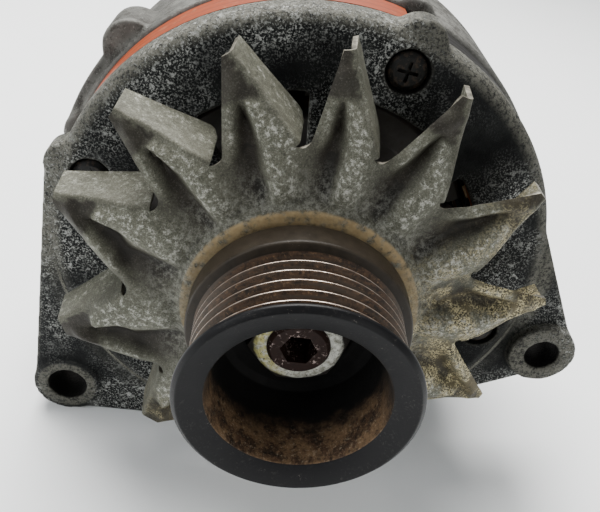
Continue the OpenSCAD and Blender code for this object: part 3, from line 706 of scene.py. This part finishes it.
class Blade:
    """One blade: its notch, fold line, free edge and embossing."""

    def __init__(self, i):
        self.start = BLADE_ANGLES[i]
        self.end = BLADE_ANGLES[(i + 1) % len(BLADE_ANGLES)]
        if self.end < self.start:
            self.end += 360
        self.notch = polar(NOTCH_CENTRE_R, self.start + NOTCH_TURN)
        self.next_notch = polar(NOTCH_CENTRE_R, self.end + NOTCH_TURN)
        self.tip = polar(FAN_R, self.start + TIP_TURN)
        width = BLUNT_TIP_WIDTH if BLUNT_BLADES[0] < self.start < BLUNT_BLADES[1] else TIP_WIDTH
        self.tip_free = polar(FAN_R - 0.3, self.start + TIP_TURN + width)
        self.fold_foot = self.touch(self.notch, self.tip, 1)
        self.free_foot = self.touch(self.next_notch, self.tip_free, -1)

    @staticmethod
    def touch(centre, point, side):
        """Where the line from a point touches a notch's round end."""
        d = point - centre
        turn = math.atan2(d.y, d.x) + side * math.acos(NOTCH_ROUND / d.length)
        return centre + NOTCH_ROUND * Vector((math.cos(turn), math.sin(turn)))

    def across(self, p):
        """Distance from the fold line and from the free edge, in the plane."""
        fold = (self.tip - self.fold_foot).normalized()
        free = (self.tip_free - self.free_foot).normalized()
        from_fold = fold.x * (p.y - self.fold_foot.y) - fold.y * (p.x - self.fold_foot.x)
        from_free = -(free.x * (p.y - self.free_foot.y) - free.y * (p.x - self.free_foot.x))
        return from_fold, from_free

    def share(self, p):
        """Place across the blade: 0 at its fold line, 1 at its free edge. Inside the notches it goes by angle."""
        r = p.length
        angle = math.degrees(math.atan2(p.y, p.x)) % 360
        if angle < self.start - LEAD:
            angle += 360
        share = (angle - self.start) / (self.end - self.start)
        if r > NOTCH_R:
            a, b = self.across(p)
            t = smooth(r, NOTCH_R, NOTCH_R + 4)
            share = share * (1 - t) + a / max(a + b, 0.1) * t
        return share

    def relief(self, p):
        """Height of the embossing towards the front, in millimetres."""
        r = p.length
        if r < HUB_R + 0.5:
            return 0.0
        share = self.share(p)
        t = smooth(r, NOTCH_R - 1, NOTCH_R + 5)
        section = through(ROOT_SECTION, share) * (1 - t) + through(BLADE_SECTION, share) * t
        fade = smooth(r, *PAD_START)
        if section < 0:
            return PAD_DEPTH * section * fade * (1 - smooth(r, *CREASE_END)) + self.bead(p)
        fade *= 1 - smooth(r, PAD_END_R - PAD_END_FADE, PAD_END_R)
        if r > NOTCH_R:
            slope = 1 - min(1.0, (r - NOTCH_R) / (PAD_END_R - NOTCH_R))
            fade *= slope + (1 - slope) * smooth(self.across(p)[0], 0.0, PAD_SLOPE_WIDTH)
        return PAD_DEPTH * section * fade + self.bead(p)

    def bead(self, p):
        """The rounded rib along the free edge."""
        r = p.length
        if r < NOTCH_R - 4:
            return 0.0
        from_free = max(0.0, self.across(p)[1])
        rise = smooth(from_free, -0.4, BEAD_TOP) - smooth(from_free, BEAD_TOP, 2.3 * BEAD_TOP)
        return BEAD_DEPTH * rise * smooth(r, NOTCH_R - 4, NOTCH_R + 2) * (1 - smooth(r, *BEAD_END))

    def tone(self, p):
        """How raised the sheet looks, for the material's painted shade: 1 on a pad, under 0 in a crease and on the
        flat end of the blade; the flat end is flat, so its low value is painted shade alone.
        """
        flat_end = smooth(p.length, PAD_END_R - PAD_END_FADE, PAD_END_R)
        return self.relief(p) / PAD_DEPTH * (1 - flat_end) - 0.6 * flat_end

    def height(self, p):
        return dish(p.length) - self.relief(p)


BLADES = [Blade(i) for i in range(len(BLADE_ANGLES))]


def blade_at(p):
    angle = math.degrees(math.atan2(p.y, p.x)) % 360
    owner = BLADES[-1]
    for blade in BLADES:
        if blade.start <= angle:
            owner = blade
    return owner


# ---- Fan: its points and faces ----

FOLD_STEPS = 22
FREE_STEPS = 20
TIP_STEPS = 3
NOTCH_STEPS = 8
BORE_STEPS = 64
LATTICE_PITCH = 1.25
LATTICE_ROW = 0.866       # distance between rows, as a share of the pitch
EDGE_MARGIN = 0.55        # the lattice keeps this far from the sheet's edges
LATTICE_START_R = 13
VANE_BEND_R = 1.3
VANE_BEND = math.radians(84)
VANE_BEND_STEPS = 4
VANE_FLAT_STEPS = 5
VANE_STEPS = VANE_BEND_STEPS + VANE_FLAT_STEPS
VANE_INSET = 0.2          # the vanes end this far inside the CAD fan
VANE_LEAST = 0.3
VANE_START = 0.72         # share of its full depth that a vane has at the notch
VANE_GAIN = 5             # gain of that share along the fold line
VANE_END_SLANT = 0.015    # share of the fold's length that the vane's rear edge stops short of the tip
VANE_TONE = (0.1, 0.4)    # the relief-and-shade attribute at the fold and at the rear edge


def straight(a, b, count):
    return [a.lerp(b, k / count) for k in range(count)]


def notch_end(blade, before):
    """Points round the end of the notch between two blades, clockwise about its centre."""
    into = before.free_foot - blade.notch
    out = blade.fold_foot - blade.notch
    a0, a1 = math.atan2(into.y, into.x), math.atan2(out.y, out.x)
    while a1 > a0:
        a1 -= 2 * math.pi
    turns = [a0 + (a1 - a0) * k / NOTCH_STEPS for k in range(NOTCH_STEPS)]
    return [blade.notch + NOTCH_ROUND * Vector((math.cos(a), math.sin(a))) for a in turns]


def fan_outline():
    """Points round the sheet, anticlockwise, with the owner of each."""
    points = []
    for i, blade in enumerate(BLADES):
        before = BLADES[i - 1]
        points += [(p, blade if k > NOTCH_STEPS / 2 else before) for k, p in enumerate(notch_end(blade, before))]
        points += [(p, blade) for p in straight(blade.fold_foot, blade.tip, FOLD_STEPS)]
        points += [(p, blade) for p in straight(blade.tip, blade.tip_free, TIP_STEPS)]
        points += [(p, blade) for p in straight(blade.tip_free, blade.free_foot, FREE_STEPS)]
    return points


def clear_of_edges(p, blade):
    r = p.length
    if r < LATTICE_START_R or r > FAN_R - 1:
        return False
    if r <= NOTCH_R - 2:
        return True
    near = min((p - blade.notch).length, (p - blade.next_notch).length)
    return near >= NOTCH_ROUND + EDGE_MARGIN and (r <= NOTCH_R or min(blade.across(p)) >= EDGE_MARGIN)


def fan_inner_points():
    """A triangular lattice of points inside the sheet, clear of its edges."""
    points = []
    rows = int(FAN_R / (LATTICE_PITCH * LATTICE_ROW)) + 1
    columns = int(FAN_R / LATTICE_PITCH) + 1
    for j in range(-rows, rows + 1):
        for i in range(-columns, columns + 1):
            p = Vector(((i + 0.5 * (j % 2)) * LATTICE_PITCH, j * LATTICE_PITCH * LATTICE_ROW))
            blade = blade_at(p)
            if clear_of_edges(p, blade):
                points.append((p, blade))
    return points


def in_sheet(c, outline):
    """Whether a point of the plane lies on the sheet."""
    if c.length < BORE_R:
        return False
    if c.length < NOTCH_R - 1.5:
        return True
    inside = False
    for a, b in zip(outline, outline[1:] + outline[:1]):
        if (a.y > c.y) != (b.y > c.y) and c.x < a.x + (c.y - a.y) / (b.y - a.y) * (b.x - a.x):
            inside = not inside
    return inside


def ring_edges(first, count):
    return [(first + k, first + (k + 1) % count) for k in range(count)]


def fan_sheet_mesh():
    """The sheet without its vanes: points, faces and the painted-shade tone at each point."""
    outline = fan_outline()
    points = outline + fan_inner_points()
    bore = len(points)
    points += [(polar(BORE_R, 360 * k / BORE_STEPS), BLADES[0]) for k in range(BORE_STEPS)]
    edges = ring_edges(0, len(outline)) + ring_edges(bore, BORE_STEPS)
    flat, _, tris, ids, _, _ = delaunay_2d_cdt([p for p, _ in points], edges, [], 0, 1e-5)
    verts, shade_tones = [], []
    for p, source in zip(flat, ids):
        blade = points[source[0]][1] if source else blade_at(p)
        verts.append((p.x, blade.height(p), p.y))
        shade_tones.append(blade.tone(p))
    rim = [p for p, _ in outline]
    faces = [tuple(t) for t in tris if in_sheet((flat[t[0]] + flat[t[1]] + flat[t[2]]) / 3, rim)]
    return verts, faces, shade_tones


def vane_point(blade, t, m):
    """A point of a vane: t runs along the fold line from notch to tip, m from the fold to the rear edge."""
    along = (blade.tip - blade.fold_foot).normalized()
    outward = Vector((along.y, -along.x))
    p = blade.fold_foot.lerp(blade.tip, t)
    y = blade.height(p)
    turn = VANE_BEND * min(1.0, m / VANE_BEND_STEPS)
    q = p + outward * VANE_BEND_R * math.sin(turn)
    bent_y = y + VANE_BEND_R * (1 - math.cos(turn))
    if m <= VANE_BEND_STEPS:
        return q, bent_y
    rear = y + (VANE_Y - VANE_INSET - y) * min(1.0, VANE_START + t * VANE_GAIN)
    d = max(VANE_LEAST, rear - bent_y) * (m - VANE_BEND_STEPS) / VANE_FLAT_STEPS
    return q + outward * d / math.tan(VANE_BEND), bent_y + d


def add_vane(blade, verts, faces, shade_tones):
    """The vane folded back along a blade: rows of points from the fold line to the vane's rear edge."""
    first = len(verts)
    width = VANE_STEPS + 1
    for k in range(FOLD_STEPS + 1):
        for m in range(width):
            q, y = vane_point(blade, k / FOLD_STEPS * (1 - VANE_END_SLANT * m / VANE_STEPS), m)
            verts.append((q.x, y, q.y))
            shade_tones.append(VANE_TONE[0] + (VANE_TONE[1] - VANE_TONE[0]) * m / VANE_STEPS)
    for k in range(FOLD_STEPS):
        for m in range(VANE_STEPS):
            a = first + k * width + m
            faces.append((a, a + width, a + width + 1, a + 1))


def join_vanes(mesh):
    """Welds the vanes to the sheet and turns every face to the front."""
    bm = bmesh.new()
    bm.from_mesh(mesh)
    bmesh.ops.remove_doubles(bm, verts=bm.verts, dist=VANE_WELD_MM * MM)
    loose = [v for v in bm.verts if not v.link_faces]
    bmesh.ops.delete(bm, geom=loose, context="VERTS")
    bmesh.ops.recalc_face_normals(bm, faces=bm.faces)
    face = max(bm.faces, key=lambda f: -abs(f.calc_center_median().length - FRONT_SAMPLE_R * MM))
    if face.normal.y > 0:
        bmesh.ops.reverse_faces(bm, faces=bm.faces)
    bm.to_mesh(mesh)
    bm.free()


def make_fan(sheet_material, edge_material):
    verts, faces, shade_tones = fan_sheet_mesh()
    for blade in BLADES:
        add_vane(blade, verts, faces, shade_tones)
    fan = new_object("fan_pressing", verts, faces, [sheet_material, edge_material], "rotor", 60)
    layer = fan.data.attributes.new(RELIEF_AND_SHADE, "FLOAT", "POINT")
    layer.data.foreach_set("value", shade_tones)
    join_vanes(fan.data)
    solid = fan.modifiers.new("thickness", "SOLIDIFY")
    solid.thickness = SHEET * MM
    solid.offset = -1
    solid.use_even_offset = True
    solid.material_offset_rim = 1
    add_bevel(fan, SHEET_BEVEL, SHEET_BEVEL_ANGLE)
    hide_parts("fan")


# ---- Castings ----


def cast_copy(node, name, material, voxel_mm):
    """A casting made from a CAD node: every edge and corner rounded as a mould leaves them."""
    mesh = frame["nodes"][node].data.copy()
    mesh.materials.clear()
    bm = bmesh.new()
    bm.from_mesh(mesh)
    bmesh.ops.remove_doubles(bm, verts=bm.verts, dist=WELD_MM * MM)
    bm.to_mesh(mesh)
    bm.free()
    piece = link(name, mesh)
    remesh = piece.modifiers.new("remesh", "REMESH")
    remesh.mode = "VOXEL"
    remesh.voxel_size = voxel_mm * MM
    soften = piece.modifiers.new("soften", "SMOOTH")
    soften.factor = 0.5
    soften.iterations = 4
    graph = bpy.context.evaluated_depsgraph_get()
    done = bpy.data.meshes.new_from_object(piece.evaluated_get(graph))
    piece.modifiers.clear()
    piece.data = done
    done.name = name
    done.materials.clear()
    done.materials.append(material)
    done.polygons.foreach_set("use_smooth", [True] * len(done.polygons))
    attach(piece, "housing")
    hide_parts(node)


# ---- Pulley ----

RIB_PITCH = 3.56
RIBS = 6
RIDGE_R = 26.0
ROOT_R = 23.3
RIDGE_HALF_FLAT = 0.22
ROOT_HALF_FLAT = 0.40
CUP_R = 20.6
CUP_FLOOR_Y = 13.6
SEAT_R = 14.0             # the sunk face that the washer lies on
SEAT_Y = 16.6
PULLEY_BORE_R = 8.5
PULLEY_FOOT_R = 20.0
PULLEY_ROUND = 0.35
PULLEY_STEPS = 256


def rounded(points, radius, steps=3):
    """Rounds each inner corner of an outline of (radius, y, material) points."""
    out = [points[0]]
    for before, here, after in zip(points, points[1:], points[2:]):
        p, a, b = Vector(here[:2]), Vector(before[:2]), Vector(after[:2])
        reach = min(radius, (a - p).length * 0.45, (b - p).length * 0.45)
        p0, p1 = p + (a - p).normalized() * reach, p + (b - p).normalized() * reach
        for k in range(steps + 1):
            t = k / steps
            q = p0.lerp(p, t).lerp(p.lerp(p1, t), t)
            kind = before[2] if t < 0.5 else here[2]
            out.append((q.x, q.y, kind))
    out.append(points[-1])
    return out


def make_pulley(materials):
    black, groove, ridge, cup = range(len(materials))
    low, high = box_mm("pulley")
    front, back = low.y, high.y
    flange_r = high.x
    outline = [
        (PULLEY_BORE_R, SEAT_Y, cup), (SEAT_R, SEAT_Y, cup), (SEAT_R, CUP_FLOOR_Y + 0.6, cup),
        (SEAT_R + 1.0, CUP_FLOOR_Y, cup), (CUP_R - 2.4, CUP_FLOOR_Y, cup), (CUP_R - 0.7, CUP_FLOOR_Y - 1.6, cup),
        (CUP_R, 6.0, cup), (CUP_R, -7.5, cup), (CUP_R + 0.5, -10.6, black),
        (flange_r - 1.25, front, black), (flange_r, front + 1.1, black), (flange_r, -10.9, black),
    ]
    for i in range(RIBS):
        c = (i - (RIBS - 1) / 2) * RIB_PITCH
        first_r = RIDGE_R if i else RIDGE_R + 0.5
        outline += [(first_r, c - RIB_PITCH / 2 + RIDGE_HALF_FLAT, groove),
                    (ROOT_R, c - ROOT_HALF_FLAT, groove), (ROOT_R, c + ROOT_HALF_FLAT, groove),
                    (RIDGE_R, c + RIB_PITCH / 2 - RIDGE_HALF_FLAT, ridge if i < RIBS - 1 else black)]
    outline += [
        (flange_r - 0.3, 11.0, black), (flange_r, 11.6, black), (flange_r, back - 2.0, black),
        (flange_r - 0.9, back - 1.0, black), (PULLEY_FOOT_R, back - 1.0, black), (PULLEY_FOOT_R, back, black),
        (PULLEY_BORE_R, back, black), (PULLEY_BORE_R, SEAT_Y, black),
    ]
    verts, faces, kinds = revolve(rounded(outline, PULLEY_ROUND), PULLEY_STEPS)
    piece = new_object("pulley_turning", verts, faces, materials, "rotor", 30)
    piece.data.polygons.foreach_set("material_index", kinds)
    fix_normals(piece)
    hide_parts("pulley")


# ---- Brush springs ----

SPRING_WIRE_R = 0.3
SPRING_TURNS = 6.5
SPRING_STEPS = 32         # steps in one turn of the wire
SPRING_SIDES = 10
SPRING_GAP = 0.03
CLOSED_RISE = 2.2 * SPRING_WIRE_R     # climb of the closed turn at each end


def make_spring(node, material):
    """A coil spring with closed ends, pressed shorter as its brush moves out."""
    low, high = box_mm(node)
    centre = (low + high) / 2
    coil_r = (high.x - low.x) / 2 - SPRING_WIRE_R
    bottom = low.z + SPRING_WIRE_R + SPRING_GAP
    rise = high.z - SPRING_WIRE_R - SPRING_GAP - bottom
    verts = []
    count = int(SPRING_TURNS * SPRING_STEPS)
    for k in range(count + 1):
        turn = k / SPRING_STEPS
        climb = CLOSED_RISE * min(turn, 1) + CLOSED_RISE * max(0, turn - SPRING_TURNS + 1)
        climb += (rise - 2 * CLOSED_RISE) * min(1, max(0, turn - 1) / (SPRING_TURNS - 2))
        a = 2 * math.pi * turn
        for side in range(SPRING_SIDES):
            b = 2 * math.pi * side / SPRING_SIDES
            r = coil_r + SPRING_WIRE_R * math.cos(b)
            z = bottom + climb + SPRING_WIRE_R * math.sin(b)
            verts.append((centre.x + r * math.cos(a), centre.y + r * math.sin(a), z))
    sides = range(SPRING_SIDES)
    faces = [tuple(sides), tuple(count * SPRING_SIDES + side for side in reversed(sides))]
    for k in range(count):
        for side in sides:
            a, b = k * SPRING_SIDES + side, k * SPRING_SIDES + (side + 1) % SPRING_SIDES
            faces.append((a, a + SPRING_SIDES, b + SPRING_SIDES, b))
    piece = new_object(node + "_coil", verts, faces, [material], "housing", 60)
    fix_normals(piece)
    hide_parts(node)
    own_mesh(piece)


# ---- Putting it together ----

make_camera()
make_stage()

cast_copy("front_housing", "front_casting_body", front_casting(), 0.75)
cast_copy("rear_housing", "rear_casting_body", rear_casting(), 0.8)
make_fan(fan_sheet(), cut_edge())
make_pulley([pulley_black(), groove_rust(), ridge_bright(), cup_rust()])

bearing_steel = plated("bearing_steel", (0.62, 0.62, 0.63), (0.50, 0.50, 0.51), 0.2, 0.22, 1.0)
bright_steel = plated("bright_steel", (0.50, 0.49, 0.46), (0.36, 0.35, 0.32), 0.4)
dark_steel = plated("rotor_steel", (0.16, 0.15, 0.14), (0.09, 0.085, 0.08), 0.3, 0.5)
washer_steel = plated("washer_steel", (0.10, 0.09, 0.08), (0.05, 0.045, 0.04))
zinc = plated("zinc_screws", (0.56, 0.55, 0.50), (0.38, 0.37, 0.33), 0.45)
yellow_zinc = plated("yellow_zinc", (0.58, 0.47, 0.24), (0.42, 0.32, 0.15), 0.4)
cage_brass = plated("cage_brass", (0.62, 0.46, 0.20), (0.46, 0.33, 0.14), 0.2, 0.35)
rolled_aluminium = plated("rolled_aluminium", (0.60, 0.60, 0.59), (0.46, 0.46, 0.45), 0.3, 0.4)
slip_copper = plated("slip_copper", (0.62, 0.34, 0.20), (0.45, 0.22, 0.12), 0.3, 0.3, 0.9)
wire_copper = copper()
black_plastic = moulded("black_plastic", (0.012, 0.012, 0.013), (0.030, 0.030, 0.031), 0.45)
brown_resin = moulded("brown_resin", (0.085, 0.040, 0.022), (0.135, 0.068, 0.038))
red_resin = moulded("red_resin", (0.16, 0.035, 0.020), (0.24, 0.06, 0.034), 0.45)
cream_resin = moulded("cream_resin", (0.50, 0.45, 0.34), (0.62, 0.57, 0.45))
paper = moulded("liner_paper", (0.42, 0.30, 0.15), (0.52, 0.39, 0.22), 0.7)
rubber = moulded("sleeve_rubber", (0.012, 0.012, 0.012), (0.022, 0.022, 0.022), 0.7)
carbon = moulded("brush_carbon", (0.018, 0.018, 0.019), (0.04, 0.04, 0.042), 0.55)

# Material of each CAD node that is shown as it is, and the width of its bevel in millimetres.
FINISHES = {
    "stator_core": (lamination(), 0.0),
    "stator_winding": (wire_copper, 0.6),
    "slot_liners": (paper, 0.0),
    "through_bolts": (black_screw(), 0.25),
    "pivot_bush": (bright_steel, 0.4),
    "bearing_retainer": (bright_steel, 0.3),
    "retainer_screws": (zinc, 0.2),
    "front_bearing_shields": (bright_steel, 0.15),
    "rear_bearing_sleeve": (rubber, 0.3),
    "shaft": (shaft_material(), 0.3),
    "front_claw_pole": (dark_steel, 0.5),
    "rear_claw_pole": (dark_steel, 0.5),
    "pole_core": (dark_steel, 0.4),
    "field_bobbin": (black_plastic, 0.2),
    "field_coil": (wire_copper, 0.4),
    "slip_rings": (slip_copper, 0.2),
    "slip_ring_carrier": (red_resin, 0.2),
    "inner_spacer": (bright_steel, 0.3),
    "outer_spacer": (yellow_zinc, 0.3),
    "pulley_washer": (washer_steel, 0.3),
    "pulley_nut": (nut_material(), 0.35),
    "positive_heat_sink": (rolled_aluminium, 0.25),
    "negative_heat_sink": (rolled_aluminium, 0.25),
    "positive_diodes": (zinc, 0.2),
    "negative_diodes": (zinc, 0.2),
    "exciter_diodes": (black_plastic, 0.3),
    "terminal_board": (brown_resin, 0.25),
    "rectifier_spacers": (cream_resin, 0.2),
    "rectifier_screws": (zinc, 0.2),
    "output_stud": (yellow_zinc, 0.2),
    "output_insulator": (black_plastic, 0.4),
    "output_nuts": (yellow_zinc, 0.4),
    "lamp_terminal": (yellow_zinc, 0.2),
    "lamp_insulator": (black_plastic, 0.3),
    "regulator": (black_plastic, 0.7),
    "regulator_heat_sink": (rolled_aluminium, 0.25),
    "regulator_screws": (zinc, 0.25),
    "brush_holder": (brown_resin, 0.4),
}
for end in ("front", "rear"):
    FINISHES[end + "_bearing_outer_ring"] = (bearing_steel, 0.3)
    FINISHES[end + "_bearing_inner_ring"] = (bearing_steel, 0.3)
    FINISHES[end + "_bearing_balls"] = (bearing_steel, 0.0)
    FINISHES[end + "_bearing_cage"] = (cage_brass, 0.2)
    FINISHES[end + "_brush"] = (carbon, 0.15)
for node, (finish, bevel_mm) in FINISHES.items():
    dress(node, finish, bevel_mm)
for end in ("front", "rear"):
    make_spring(end + "_brush_spring", bearing_steel)
